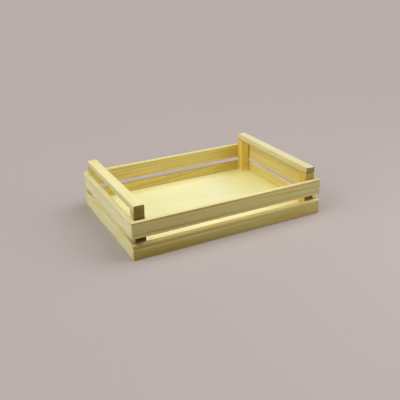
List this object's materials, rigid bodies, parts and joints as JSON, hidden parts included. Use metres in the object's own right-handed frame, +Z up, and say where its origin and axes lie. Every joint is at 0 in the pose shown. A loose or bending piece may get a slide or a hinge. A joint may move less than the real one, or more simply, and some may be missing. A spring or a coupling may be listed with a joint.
{
  "type": "slatted wooden crate",
  "caption": "Low open-top softwood crate with gapped slats on corner posts, a raised handle bar along each short side and a plywood floor.",
  "frame": {"origin": "on the ground at the centre of the crate's footprint", "axes": "+X along the long sides towards the right end, +Y along the short sides towards the back, +Z up"},
  "size_m": [0.4, 0.28, 0.099],
  "materials": {
    "slat_pine": "sawn and lightly sanded, bare",
    "post_pine": "planed, bare",
    "cleat_pine": "sawn, bare",
    "floor_plywood": "sanded veneer, bare",
    "brad_steel": "bright drawn wire"
  },
  "bodies": {
    "root": {"front_slat_lower": "slat_pine", "back_slat_lower": "slat_pine", "left_slat_lower": "slat_pine", "right_slat_lower": "slat_pine", "front_slat_upper": "slat_pine", "back_slat_upper": "slat_pine", "left_slat_upper": "slat_pine", "right_slat_upper": "slat_pine", "post_front_left": "post_pine", "post_front_right": "post_pine", "post_back_left": "post_pine", "post_back_right": "post_pine", "handle_bar_left": "post_pine", "handle_bar_right": "post_pine", "floor_cleat_left": "cleat_pine", "floor_cleat_middle": "cleat_pine", "floor_cleat_right": "cleat_pine", "floor_panel": "floor_plywood", "brads_front_slats": "brad_steel", "brads_back_slats": "brad_steel", "brads_left_slats": "brad_steel", "brads_right_slats": "brad_steel", "brads_handle_left": "brad_steel", "brads_handle_right": "brad_steel", "brads_cleats": "brad_steel", "brads_floor": "brad_steel"}
  },
  "joints": []
}
